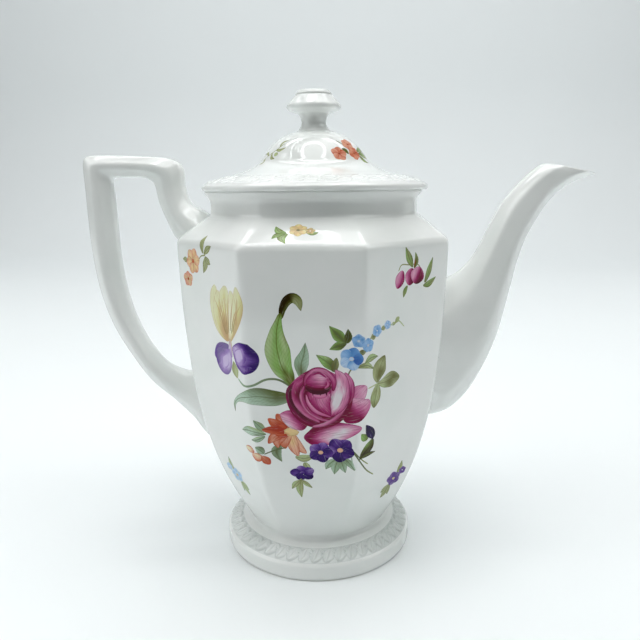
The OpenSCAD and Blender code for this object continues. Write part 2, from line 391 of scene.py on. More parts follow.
# (upper x, upper z, lower x, lower z, half width), from inside the body's wall to the mouth
SPOUT = [
    (59, 137, 52.5, 68, 19.6), (62.6, 138.2, 59.5, 68.6, 18.6), (66, 139.6, 69.5, 73.2, 17.6),
    (69.2, 141.3, 79.5, 85.6, 16.2), (72.8, 144.2, 89.6, 108.5, 14.2), (77, 149.2, 96.2, 137, 12),
    (81, 156.5, 98.6, 148.3, 10.8), (85.4, 166.3, 102.2, 159.3, 9.8), (90, 175.2, 106.2, 167.2, 9.2),
    (96, 182.8, 110.6, 174.6, 9), (102.4, 189.4, 116, 180.8, 9.2), (106.2, 192.5, 123.6, 185.7, 9.4),
    (108.4, 193.5, 132.3, 188.4, 9)]

# (outer x, outer z, inner x, inner z, half width), from the lower root round to the shoulder
HANDLE = [
    (-46.5, 45.0, -56.3, 88.0, 10.2), (-58.5, 54.5, -64.5, 88.6, 9.2), (-65.5, 63.8, -70.0, 89.2, 7.9),
    (-75.0, 73.2, -78.5, 93.0, 7.1), (-87.5, 84.0, -86.0, 101.0, 6.9), (-97.0, 97.3, -92.0, 111.5, 6.8),
    (-106.0, 113.5, -96.6, 124.0, 6.8), (-111.8, 131.5, -99.4, 137.5, 6.8),
    (-114.6, 152.0, -100.9, 153.5, 6.8), (-115.3, 170.0, -101.2, 170.0, 6.8),
    (-115.5, 184.0, -101.7, 182.0, 6.8), (-115.7, 192.0, -102.2, 186.8, 6.8),
    (-115.3, 197.8, -101.8, 188.4, 6.8), (-112.6, 200.0, -100.4, 189.3, 6.8),
    (-104.0, 200.2, -97.6, 189.6, 6.8),
    (-84.0, 199.4, -86.0, 189.3, 6.8), (-71.0, 198.0, -81.0, 187.4, 6.9),
    (-65.6, 194.0, -79.3, 184.3, 7.0), (-64.8, 184.5, -77.9, 177.2, 7.4), (-62.2, 176.6, -74.6, 168.8, 8.6),
    (-54.8, 172.0, -70.2, 159.8, 10.0), (-51.5, 169.0, -63.5, 155.0, 11.0)]


def build_spout():
    rows = spline(SPOUT, 14)
    facets = dict(flat_end=0.34, flat_side=0.5, sharp=15)
    outer = panelled(rows, **facets)
    wall = np.interp(np.arange(len(rows)), [0, len(rows) - 20, len(rows) - 1], [3.0, 2.8, 1.5])
    inner = np.array([panelled(row[None], inset=inset, **facets)[0] for row, inset in zip(rows, wall)])
    # the rim is a half-round bead between the outer and the inner skin
    bead = []
    along = outer[-1] - outer[-2]
    along = along / np.linalg.norm(along, axis=1, keepdims=True)
    for t in np.linspace(0, math.pi, 7)[1:-1]:
        centre = (outer[-1] + inner[-1]) / 2
        bead.append(centre + (outer[-1] - centre) * math.cos(t) + along * 0.6 * math.sin(t))
    points = np.concatenate([outer, np.array(bead), inner[::-1]])
    rings, steps = points.shape[:2]
    spout = mesh_object("spout_shell", points.reshape(-1, 3),
                        grid_faces(rings, steps, close_rows=True), "pot")
    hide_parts("spout")
    return spout


def build_handle():
    rings = panelled(spline(HANDLE, 10), 0.4, 0.26, steps=64, sharp=18)
    count, steps = rings.shape[:2]
    faces = grid_faces(count, steps)
    faces.append(list(range(steps))[::-1])
    faces.append([(count - 1) * steps + j for j in range(steps)])
    handle = mesh_object("handle_loop", rings.reshape(-1, 3), faces, "pot")
    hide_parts("handle")
    return handle


# ---------------------------------------------------------------- lid
LID_SLOPE_LOW, LID_SLOPE_HIGH = (53.0, rim_z + 3.4), (41.5, rim_z + 6.9)
HOLLOW_CENTRE, HOLLOW_ARC_R = np.array([5.5, rim_z + 8]), 15.8     # the arc under the dome

lid_outline = filleted([
    (lid_r - 0.4, rim_z + 0.1), (lid_r, rim_z + 0.8, 1), (lid_r, rim_z + 2.2, 1.2),
    (*LID_SLOPE_LOW, 1.5), (*LID_SLOPE_HIGH, 0.8), (39.6, rim_z + 7.5)], 0.3)
dome_side = (25.7, rim_z + 14.2)           # where the flare turns into the bell
flare = bezier([lid_outline[-1], (32.8, rim_z + 9.3), (27.5, rim_z + 11.3), dome_side], 40)
bell = bezier([dome_side, (21.5, rim_z + 20.9), (16.6, rim_z + 25.9), (8.0, rim_z + 27.65)], 60)
lid_outline = np.vstack([lid_outline[:-1], flare[:-1], bell])


def build_lid():
    crown_z = knob_base_z + 0.5
    crown = filleted([tuple(lid_outline[-1]), (7.2, crown_z, 1.5), (0, crown_z)], 0.3)
    turn = np.radians(np.linspace(89, 5, 40))
    arc = HOLLOW_CENTRE + HOLLOW_ARC_R * np.stack([np.cos(turn), np.sin(turn)], -1)
    hollow = np.vstack([[(0, arc[0][1])], arc, [(33, rim_z + 5)]])
    skirt_r, skirt_low = flange_high[0], flange_low[2]
    skirt_bore = skirt_r - SKIRT_WALL
    under = [(skirt_bore, rim_z + 0.1), (lid_r - 0.5, rim_z + 0.05)]
    closed = np.vstack([hollow, under, lid_outline, crown[1:]])
    cover = turned("lid_dome", spaced(closed, 1.2), "lid", around=256)
    vent = (VENT_FROM_AXIS * math.cos(VENT_ANGLE), VENT_FROM_AXIS * math.sin(VENT_ANGLE), rim_z + 12)
    pierce(cover, [vent], VENT_R, 20, (0, 0, 1))
    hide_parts("lid_cover")
    border = build_border("lid_leaf_border", "lid_border", "lid",
                          LID_SLOPE_LOW, LID_SLOPE_HIGH, 22, 0.4, LID_LEAVES)
    skirt = turned("lid_skirt", spaced(filleted([
        (skirt_bore, rim_z + 0.6), (skirt_bore, skirt_low, 1.2), (skirt_r, skirt_low, 1.4),
        (skirt_r, rim_z + 0.6), (skirt_bore, rim_z + 0.6)], 0.3)[:-1], 1), "lid", around=192)
    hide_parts("lid_flange")
    return cover, border, skirt


def build_knob():
    """The mushroom knob: a stem, a cap with a shallow ring of lobes, and a small disc on top."""
    base = knob_base_z - 0.3
    profile = filleted([(r, base + z, *fillet) for r, z, *fillet in (
        (0, 0), (8.9, 0), (7.3, 1.1, 2), (5.65, 3.6, 5), (6.5, 7.0, 4), (7.6, 8.4, 1.5),
        (12.3, 9.9, 2), (13.15, 11.2, 0.8), (12.8, 12.2, 1.2), (9.3, 16.1, 0.5), (8.5, 16.6, 0.3),
        (8.7, 17.3, 0.5), (7.6, 18.8, 0.7), (6.7, 18.95, 0.4), (6.0, 18.6, 0.4), (0, 19.1))], 0.2)

    def lobes(angle, rings):
        z = rings[:, 1:2] - base
        on_cap = smooth(12.4, 13.6, z) * (1 - smooth(15.0, 15.9, z))
        return 1 + 0.006 * on_cap * np.cos(angle * 14)[None, :]

    knob = turned("lid_knob_cap", spaced(profile, 0.5), "lid", around=192, shape=lobes)
    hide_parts("lid_knob")
    return knob


# ---------------------------------------------------------------- materials
class Nodes:
    """A material's node tree, built with short calls."""

    def __init__(self, name):
        self.material = bpy.data.materials.new(name)
        self.material.use_nodes = True
        self.tree = self.material.node_tree
        self.shader = self.tree.nodes["Principled BSDF"]

    def add(self, kind, inputs=(), **settings):
        node = self.tree.nodes.new(kind)
        for key, value in settings.items():
            setattr(node, key, value)
        for key, value in dict(inputs).items():
            self.set(node.inputs[key], value)
        return node

    def set(self, socket, value):
        if isinstance(value, bpy.types.NodeSocket):
            self.tree.links.new(value, socket)
        else:
            socket.default_value = value

    def math(self, operation, a, b=0.0):
        return self.add("ShaderNodeMath", {0: a, 1: b}, operation=operation).outputs[0]

    def times(self, a, b):
        return self.math("MULTIPLY", a, b)

    def remap(self, value, low, high, to_low=0.0, to_high=1.0):
        node = self.add("ShaderNodeMapRange", {"Value": value, "From Min": low, "From Max": high,
                                               "To Min": to_low, "To Max": to_high},
                        interpolation_type="SMOOTHSTEP")
        return node.outputs["Result"]

    def blend(self, factor, a, b):
        node = self.add("ShaderNodeMix", data_type="RGBA")
        for index, value in ((0, factor), (6, a), (7, b)):
            self.set(node.inputs[index], value)
        return node.outputs[2]

    def noise(self, scale, detail=2.0, roughness=0.5, vector=None):
        inputs = {"Scale": scale, "Detail": detail, "Roughness": roughness}
        if vector is not None:
            inputs["Vector"] = vector
        return self.add("ShaderNodeTexNoise", inputs).outputs["Fac"]

    def place(self):
        return self.add("ShaderNodeNewGeometry").outputs["Position"]

    def split(self, vector):
        return self.add("ShaderNodeSeparateXYZ", {0: vector}).outputs

    def join(self, x, y):
        return self.add("ShaderNodeCombineXYZ", {0: x, 1: y}).outputs[0]

    def ripple(self, where):
        """The slight unevenness of a fired glaze."""
        return self.add("ShaderNodeBump", {"Strength": 0.5, "Distance": 0.00006,
                                           "Height": self.noise(110, 1.5, 0.4, where)}).outputs[0]

    def surface(self, inputs):
        """Sets the shader's own sockets and gives back the material."""
        for name, value in inputs.items():
            self.set(self.shader.inputs[name], value)
        return self.material


def linear(shade):
    """sRGB values, 0 to 255, as the linear values that a shader takes."""
    shade = np.asarray(shade, float) / 255
    return np.where(shade <= 0.04045, shade / 12.92, ((shade + 0.055) / 1.055) ** 2.4)


def rgb(red, green, blue):
    return (*linear([red, green, blue]).tolist(), 1.0)


def glaze(name, painted_hollow_shade=0.0, bisque_below=None, thin=rgb(241, 243, 241), thick=rgb(235, 239, 236)):
    """Clear glossy glaze over white porcelain, from a thin coat's tone to a pooled one's, with a soft
    ripple. The hollow-shade amount greys the hollows of a relief: painted shade where less light
    falls. bisque_below is the height in metres under which the clay is bare and matt."""
    n = Nodes(name)
    where = n.place()
    tone = n.blend(n.remap(n.noise(26, 3, 0.55, where), 0.35, 0.7), thin, thick)
    # painted shade: where pointiness is low, in the hollows of a relief, the tone is greyed
    if painted_hollow_shade:
        ridge = n.add("ShaderNodeNewGeometry").outputs["Pointiness"]
        tone = n.blend(n.remap(ridge, 0.46, 0.5, painted_hollow_shade, 0.0), tone, rgb(188, 194, 190))
    rough = n.remap(n.noise(60, 2, 0.5, where), 0.3, 0.7, 0.05, 0.1)
    if bisque_below is not None:
        ragged = n.times(n.noise(300, 2, 0.5, where), 0.0004)
        bare = n.remap(n.math("ADD", n.split(where)["Z"], ragged),
                       bisque_below, bisque_below + 0.0003, 1, 0)
        grain = n.noise(2600, 3, 0.7, where)
        tone = n.blend(bare, tone, n.blend(grain, rgb(214, 207, 194), rgb(232, 227, 216)))
        rough = n.math("MAXIMUM", rough, n.times(bare, 0.75))
    return n.surface({"Base Color": tone, "Roughness": rough, "Normal": n.ripple(where), "IOR": 1.52,
                      "Coat Weight": 0.35, "Coat Roughness": 0.04})


def finish_piece(obj, material):
    """Gives a piece its material."""
    obj.data.materials.clear()
    obj.data.materials.append(material)


POT_GLAZE = glaze("pot_glaze")
FOOT_GLAZE = glaze("foot_glaze", bisque_below=0.0004)
LID_GLAZE = glaze("lid_glaze")
# painted shade on both relief borders: the hollows of their relief are greyed
RELIEF_GLAZE = glaze("relief_glaze", painted_hollow_shade=0.2)
# painted shade: the foot's relief band is glazed a darker grey than the pot, to stand for the shade it lies
# in
FOOT_RELIEF_SHADED_GLAZE = glaze("foot_relief_shaded_glaze", painted_hollow_shade=0.35, thin=rgb(226, 230, 228),
                          thick=rgb(206, 212, 209))

for piece in build_pot_shell() + (build_spout(), build_handle()):
    finish_piece(piece, POT_GLAZE)
foot, foot_border = build_foot()
finish_piece(foot, FOOT_GLAZE)
finish_piece(foot_border, FOOT_RELIEF_SHADED_GLAZE)
cover, lid_border, skirt = build_lid()
finish_piece(lid_border, RELIEF_GLAZE)
for piece in (cover, skirt, build_knob()):
    finish_piece(piece, LID_GLAZE)


# ---------------------------------------------------------------- printed flowers
# The print is drawn flat and wrapped on, in millimetres. On the pot, u runs round it from the middle
# of a facet and v runs up its outline from a height of 100 mm. On the lid, v runs up from the dome's
# side. Each painted patch is a centre line of (u, v, half width) stations with a small grid of paints:
# one word for each row from its base to its tip, one letter for each paint across it, left to right.
PAINTS = {
    "y": (230, 231, 190), "Y": (224, 222, 158), "o": (208, 186, 138), "O": (202, 166, 118),
    "c": (240, 238, 208), "p": (206, 188, 226), "m": (160, 130, 196), "P": (118, 98, 156),
    "v": (96, 58, 148), "V": (50, 12, 104), "x": (22, 2, 56), "g": (142, 184, 100),
    "G": (88, 98, 34), "h": (178, 200, 144), "k": (46, 34, 6), "s": (152, 178, 148),
    "S": (98, 108, 72), "t": (184, 208, 188), "R": (72, 0, 28), "r": (118, 0, 52),
    "M": (152, 22, 90), "n": (192, 84, 138), "q": (216, 132, 174), "Q": (229, 174, 202),
    "w": (234, 228, 232), "A": (166, 48, 26), "a": (200, 92, 58), "e": (206, 128, 100),
    "E": (230, 178, 150), "f": (220, 202, 146), "F": (236, 208, 150), "B": (58, 104, 182),
    "b": (92, 148, 210), "d": (148, 190, 234), "D": (188, 214, 240), "u": (150, 156, 106),
    "U": (108, 108, 62), "z": (184, 194, 146)}


FLOOR = 0.04          # how far a print's first patch lies above the glaze
LAYER = 0.006         # how far each patch lies above the one before it


class Surface:
    """A skin that prints are wrapped on: an outline swept round the axis, eight-sided or round."""

    def __init__(self, outline, zero_z, eight_sides, body):
        self.outline, self.eight_sides, self.body = outline, eight_sides, body
        self.arc = np.concatenate([[0], np.cumsum(np.linalg.norm(np.diff(outline, axis=0), axis=1))])
        self.zero = np.interp(zero_z, outline[:, 1], self.arc)

    def at(self, u, v, turn):
        """Points for u and v in millimetres. turn is the angle round the axis where u is 0."""
        r = np.interp(v + self.zero, self.arc, self.outline[:, 0])
        z = np.interp(v + self.zero, self.arc, self.outline[:, 1])
        if self.eight_sides:
            soft = softness(z)
            apothem = r * mix(FACET_COS, 1, soft)
            half_facet = math.tan(math.pi / 8)
            facet = np.round(u / apothem / (2 * half_facet))
            angle = turn + facet * math.pi / 4 + np.arctan(u / apothem - 2 * half_facet * facet)
            r = r * mix(octagon(angle), 1, soft)
        else:
            angle = turn + u / r
        return swept(r, angle, z)

    def points_and_normals(self, u, v, turn):
        d = 0.4
        along = self.at(u + d, v, turn) - self.at(u - d, v, turn)
        up = self.at(u, v + d, turn) - self.at(u, v - d, turn)
        normal = np.cross(along, up)
        return self.at(u, v, turn), normal / np.linalg.norm(normal, axis=-1, keepdims=True)


class Motif:
    """Painted patches laid one over another that become one mesh piece."""

    def __init__(self, name, floor=FLOOR):
        self.name, self.floor, self.patches = name, floor, []

    def patch(self, tones, *stations, ink="G", rim=0.5, streak=0.5, rib=0.0, ends=(30, 30)):
        """One petal, leaf or stroke. ink is the paint of its drawn lines: rim is how strong the line
        round its edge is, streak the brush marks along it and rib a leaf's veins. ends is how blunt
        its base and tip are: 2 is round, 30 is left as the stations have it."""
        line = spline(stations, 12)
        span = np.linalg.norm(np.diff(line[:, :2], axis=0), axis=1).sum()
        count = int(np.clip(span / 0.6, 10, 70))
        s = (1 - np.cos(np.linspace(0.02, 0.98, count) * math.pi)) / 2
        line = np.stack([np.interp(s, np.linspace(0, 1, len(line)), line[:, k]) for k in range(3)], -1)
        half = np.maximum(line[:, 2], 0.02)
        half = half * np.sqrt((1 - (1 - s) ** ends[0]) * (1 - s ** ends[1]))
        ahead = np.gradient(line[:, :2], axis=0)
        ahead = ahead / np.linalg.norm(ahead, axis=1, keepdims=True)
        lanes = int(np.clip(half.max() / 0.6, 2, 30)) * 2 + 1
        t = np.sin(np.linspace(-1, 1, lanes) * math.pi / 2)[None, :]
        u = line[:, :1] + ahead[:, 1:] * half[:, None] * t
        v = line[:, 1:2] - ahead[:, :1] * half[:, None] * t
        rows = [np.array([PAINTS[c] for c in word], float) for word in tones.split()]
        spread = np.array([[np.interp(t[0], np.linspace(-1, 1, len(row)) if len(row) > 1 else [0],
                                      row[:, k]) for k in range(3)] for row in rows])
        at_row = s * (len(rows) - 1)
        low = np.minimum(at_row.astype(int), max(0, len(rows) - 2))
        high = np.minimum(low + 1, len(rows) - 1)
        step = (at_row - low)[:, None, None]
        paint = mix(spread[low], spread[high], step).transpose(0, 2, 1)
        length = np.concatenate([[0], np.cumsum(np.linalg.norm(np.diff(line[:, :2], axis=0), axis=1))])
        across = half[:, None] * t
        to_end = np.minimum(length, length[-1] - length)[:, None]
        edge = np.minimum(half[:, None] - np.abs(across), to_end + 0.15)
        pen = np.array([rim, streak, rib])
        self.patches.append((u, v, paint, PAINTS[ink], pen, edge, across, length[:, None] + 0 * across))

    def bloom(self, u, v, radius, tones, count=5, turn=90.0, centre="f", squash=1.0, ink="V", wide=0.5,
              hollow=0.12, **pens):
        """A small open flower: petals round a centre. tones may hold several paint grids, split by
        commas, for the petals in turn."""
        kinds = tones.split(",")
        for k in range(count):
            angle = math.radians(turn + 360 * k / count)
            du, dv = math.cos(angle), math.sin(angle) * squash
            w = radius * wide
            self.patch(kinds[k % len(kinds)],
                       (u + du * radius * hollow, v + dv * radius * hollow, w * 0.35),
                       (u + du * radius * 0.55, v + dv * radius * 0.55, w),
                       (u + du * radius, v + dv * radius, w * 0.9), ink=ink, ends=(30, 2.5), **pens)
        if centre:
            r = radius * 0.2
            self.patch(centre, (u - r, v, r * 1.2), (u + r, v, r * 1.2), ink="O", ends=(2, 2),
                       rim=0.6, streak=0.6)

    def strokes(self, *rows, **pens):
        """A patch for each row, which holds its paints and then its stations."""
        for row in rows:
            self.patch(*row, **pens)

    def leaves(self, tones, lines, at=(0, 0), side=1, **pens):
        """A patch for each line of stations, moved to at. A side of -1 flips them left for right."""
        for line in lines:
            self.patch(tones, *((at[0] + u * side, at[1] + v, half) for u, v, half in line), **pens)

    def stem(self, points, width=0.35, tones="S"):
        self.patch(tones, *((u, v, width) for u, v in points), ink="S", rim=0, streak=0.3)

    def wrap(self, skin, turn, material, slot_name):
        """Makes the mesh piece, each patch a hair above the one before it."""
        points, normals, faces, paints, inks, pens, strokes = [], [], [], [], [], [], []
        first = 0
        for layer, (u, v, paint, ink, pen, edge, across, length) in enumerate(self.patches):
            skin_points, skin_normals = skin.points_and_normals(u, v, turn)
            points.append((skin_points + skin_normals * (self.floor + LAYER * layer)).reshape(-1, 3))
            normals.append(skin_normals.reshape(-1, 3))
            faces += grid_faces(*u.shape, first=first, close_cols=False)
            first += u.size
            paints.append(paint.reshape(-1, 3))
            inks.append(np.tile(np.array(ink, float), (u.size, 1)))
            pens.append(np.tile(pen, (u.size, 1)))
            strokes.append(np.stack([edge, across, length + 37 * layer], -1).reshape(-1, 3))
        obj = mesh_object(self.name, np.vstack(points), faces, skin.body, np.vstack(normals))
        for name, rows in (("paint", paints), ("ink", inks)):
            shade = linear(np.vstack(rows))
            shade = np.hstack([shade, np.ones((len(shade), 1))])
            layer = obj.data.attributes.new(name, "FLOAT_COLOR", "POINT")
            layer.data.foreach_set("color", shade.ravel())
        for name, rows in (("pen", pens), ("stroke", strokes)):
            layer = obj.data.attributes.new(name, "FLOAT_VECTOR", "POINT")
            layer.data.foreach_set("vector", np.vstack(rows).ravel())
        obj.visible_shadow = obj.visible_diffuse = False      # a print is too thin to shade the glaze
        finish_piece(obj, material)
        return obj


def draw_greens(m):
    """Leaves and stems behind the flowers."""
    m.stem([(-31, 3), (-27, 0.6), (-22, 1.2), (-17, 3.8), (-13, 4.4), (-9.5, 3.5), (-5, 0.5)], 0.5, "s S")
    m.patch("sSG sSG tsS tts ttt ttt ts SS", (-6, -4.2, 2.2), (-13, -4.6, 3.7), (-21, -4, 4.1),
            (-28, -5.4, 2.4), (-33, -7.6, 1.3), (-35.6, -10.6, 0.9), (-35.8, -14.5, 0.2), ink="S", rib=0.7,
            streak=0.6)
    m.patch("GG kkG kkG kkG Guu uuz uu", (-8.8, 31, 0.8), (-8.2, 35, 1.5), (-6.3, 38.6, 2),
            (-3.7, 39.9, 2.1), (-1.5, 38.2, 1.8), (-0.5, 34.4, 0.3), ink="k", streak=0.7)
    m.patch("GGGG gGuGG hgGgg hgghgg hhgghg hhgghu hggg ugg GG", (-4.6, 1, 0.8), (-6.6, 5.5, 2.9),
            (-9.2, 10, 4.5), (-10.9, 17.5, 5.4), (-11, 24.5, 3.3), (-10, 30, 1.5), (-9, 33.4, 0.9), ink="G",
            rib=0.8, streak=0.55)
    m.patch("sSs sSt sst sst ss", (-0.6, 4, 0.6), (-1, 8.5, 2.3), (-0.8, 12, 3.1), (0.4, 16, 2),
            (1, 21, 0.1), ink="S", rib=0.8)
    m.strokes(
        ("Ssh tth tts tt", (-17.5, -22.5, 0.6), (-24, -21.4, 2.3), (-28, -21.8, 1.8), (-31.8, -22.8, 0.1)),
        ("uss ssu ss", (-17.5, -21, 0.6), (-20.3, -18.4, 1.9), (-23, -15.6, 0.2)),
        ("sst sth tt", (-18, -23.5, 0.5), (-21.5, -25.4, 1.4), (-25, -26.2, 0.2)),
        ("sSs sSs ssS", (-11, -27.5, 0.8), (-13.4, -31.5, 2.4), (-11.2, -37, 0.2)),
        ("sss tsS ts", (-19, -32.8, 0.8), (-20.8, -31, 2.2), (-23.2, -29.6, 0.4)),
        ("zzu hzu zu", (-5, -34, 0.8), (-1, -34.8, 2), (3.4, -33.2, 0.4)),
        ("zzu zzu zu", (-1, -37, 0.8), (0, -39.4, 1.6), (2, -41, 0.3)),
        ("sst sst st", (14, -34, 0.7), (10, -37.6, 1.8), (8.4, -40.6, 0.2)),
        ("sSs sst st", (14.4, -34, 0.7), (12.8, -39, 2.1), (12.2, -43.4, 0.2)),
        ("sSs sss tt", (15, -34, 0.7), (16, -38.4, 1.9), (17.2, -42.4, 0.2)),
        ("sSs ss tt", (16, -33.6, 0.7), (19, -37, 1.6), (21.4, -41.2, 0.2)),
        ("GGG gGG ggh gh", (14.4, 8, 0.6), (10.2, 12.2, 2.4), (5.4, 15.6, 0.2)),
        ("GUU UUu uu", (12.6, 8, 1), (13.4, 11.4, 1.6), (14, 14.4, 0.4)),
        ("GGG gGg gGg gg", (18.2, 21, 0.5), (14.8, 24, 2.5), (11, 28.2, 0.2)),
        ("GGG GGg gGg gg", (18.2, 20.8, 0.5), (14.8, 19.6, 1.9), (11, 18, 0.2)),
        ("GGG GkG GG", (18, 20.8, 0.8), (18.9, 23.6, 1.7), (18.8, 27, 0.2)),
        ("uhh hhu hh", (26, 11.6, 0.4), (29.4, 13.8, 1.7), (33.6, 13.8, 0.1)),
        ("uuh hzu zh", (22.4, 10.2, 0.4), (27, 10.8, 1.4), (31.4, 8.4, 0.1)), ink="S", rib=0.75, streak=0.7)
    m.stem([(18.4, 5.5), (19.8, 9), (22.6, 10.4), (26.6, 11.8)], 0.3, "S u")
    m.stem([(20.4, -30), (25, -38), (28.6, -43.4), (33, -47.8)], 0.38, "S S u")
    m.stem([(20.6, -30), (25, -35.6), (29.2, -39.8)], 0.32, "S u")
    m.stem([(19.8, -32), (20.4, -37), (21.8, -41)], 0.25, "s t")
    m.stem([(27, -33), (30, -31), (30.6, -27)], 0.35, "G")
    m.patch("GGG kGg GkG GG", (31.8, -26, 0.8), (29.6, -29.6, 2.6), (26, -33, 2), (23.6, -35.4, 0.2),
            ink="k", rib=0.5)
    m.patch("GGk kGk GG", (25, -34.8, 0.5), (29, -33.8, 1.2), (33.6, -33.8, 0.1), ink="k")
    m.patch("GGg ggG gg", (28.6, -25, 0.8), (26.4, -24, 2), (24.6, -21.6, 0.3), ink="G", rib=0.4)
    m.patch("Vxx xxxx xxVx xxx", (27.2, -17.6, 1.2), (29.2, -21, 2.8), (31, -24, 2.6), (31.4, -26.4, 1.2),
            ink="x", ends=(3, 3), streak=0.5)
    m.strokes(
        ("uzu zuUu zuUu uzu Uu", (33.4, 1.4, 0.6), (33.6, 5, 3.2), (35, 9, 4.5), (37.6, 13.4, 2.6)),
        ("zzz zzh zuUu uUuz uu", (33.6, 1, 0.6), (38, 0.8, 2.8), (42.6, 1.6, 4.3), (47.2, 1.4, 3.2)),
        ("zhz uzuz uzhu uUu", (33.4, 1.4, 0.6), (33, -2.4, 2.6), (32.2, -6.4, 3.4), (31.6, -10.2, 2.4)),
        ink="U", rib=0.6, streak=0.8, ends=(30, 3))
    m.stem([(28, 0), (31, 0.6), (33.6, 1.2)], 0.3, "z")


def draw_tulip(m):
    """The pale yellow cup with two purple falls under it."""
    pens = dict(ink="O", rim=0.7, streak=0.55)
    m.strokes(
        ("OOo yYoO yyYo yyyY yyy", (-36.6, 19, 1.2), (-42.4, 25, 3.8), (-45.4, 32, 4.2), (-45.8, 38.4, 4.2),
         (-45, 43.2, 3)),
        ("ooo Yoo YYoo yYYo yyY yyy", (-35.6, 19, 1), (-32.2, 25, 2.4), (-29.2, 31, 3.4), (-28, 37, 4),
         (-28.6, 44, 3.2)), ends=(30, 4), **pens)
    m.patch("ooo YOOy YYoYy yyYyy yyy", (-36.6, 20, 1.6), (-38.4, 28, 5.4), (-38.2, 36, 6.2),
            (-36.4, 43.6, 4.8), ends=(30, 3.4), **pens)
    m.strokes(
        ("oOO YOOo yYoY yyYo yyy yyy", (-36.8, 19.6, 1), (-40.4, 23.8, 3.4), (-43.6, 29.6, 3.6),
         (-43.8, 36, 2.6), (-42.4, 41, 1.2)),
        ("OOO oOOo YOOo yYYc yy", (-36.2, 19.4, 1.4), (-38.8, 24.6, 3.6), (-38.6, 30.6, 2.8),
         (-37.4, 38.4, 0.8)),
        ("ooo ccY ccyY ccyy cyy yyy", (-35.6, 18.6, 1), (-33.8, 25, 2.1), (-32.4, 31, 2.8),
         (-31.8, 37, 2.6), (-32.6, 42, 1.2)), **pens)
    m.strokes(
        ("OO ooY oy", (-29.8, 27, 0.3), (-28.6, 33, 0.8), (-27.8, 39, 0.3)),
        ("oo YYo Yy", (-42, 27, 0.3), (-42.6, 33, 0.7), (-41.6, 38, 0.2)), ink="O", rim=0.2)
    for low, high in (((-38.6, 23), (-46.4, 38)), ((-38, 22), (-43, 39)), ((-37.4, 22), (-40.2, 38)),
                      ((-36.6, 22), (-37.8, 41)), ((-35.6, 23), (-34.6, 40)), ((-34.2, 24), (-30.4, 40)),
                      ((-33.6, 23), (-27.6, 36)), ((-32.4, 24), (-25.4, 37))):
        half_way = (mix(low[0], high[0], 0.42), mix(low[1], high[1], 0.55))
        m.patch("UO OO oY", (*low, 0.22), (*half_way, 0.3), (*high, 0.06), ink="O", rim=0, streak=0.2)
    m.patch("zuu zzu uzu", (-33.4, 10.6, 1), (-32.6, 6.6, 2.8), (-31.2, 3, 1.4), ink="U", ends=(4, 3))
    pens = dict(rim=0.3, streak=0.5)
    m.patch("vPP mPPP mPPvP PPvvv", (-36.4, 17.4, 1.6), (-39.6, 15.4, 3.2), (-44.2, 12.8, 4.6),
            (-48.6, 9.6, 4), ends=(4, 3), ink="P", **pens)
    m.patch("mmmP mppmmP mpppmPP PpppmPP PmppmPP PmmmPPv PPPPvvv", (-35.8, 15.6, 2), (-38.6, 11.8, 5.4),
            (-42.2, 8.8, 7.8), (-46.6, 5.8, 8.4), ends=(6, 3.4), ink="v", **pens)
    pale = dict(ends=(2, 2), ink="m", rim=0, streak=0.3)
    m.strokes(
        ("mmm mpm ppp ppm mmm", (-42.8, 11, 3.8), (-40, 9.2, 5.6), (-37.6, 8, 3.8)),
        ("ppp ppp ppp ppp", (-41.8, 10.6, 2.8), (-39.8, 9.4, 4.4), (-37.8, 8.4, 2.8)), **pale)
    m.patch("vmmmm vmpppmv VvmppmmP VVvmmmvv VVVvvVVV VVVVVVV", (-33.6, 16.8, 2.4), (-29.6, 15.2, 5.8),
            (-24.8, 13, 8), (-18.6, 12.6, 8.4), ends=(6, 3.2), ink="V", **pens)
    m.patch("mmv vmV vVV", (-29.4, 9, 1.8), (-26, 8, 2.4), (-21.8, 9, 2.2), ends=(3, 3), ink="V", **pens)
    m.strokes(
        ("mmm mpm mpm mmm vvv", (-31.8, 15.6, 3.6), (-28.2, 13.6, 6), (-24.6, 12.6, 4.4)),
        ("ppp ppp ppp ppm", (-31.4, 15.2, 2.6), (-28.8, 13.9, 4.4), (-26.4, 13, 2.8)), **pale)
    m.patch("ooO opp pmm", (-35.2, 20.6, 0.8), (-34.8, 17, 1.2), (-34.6, 12, 0.8), ink="P", rim=0.2)


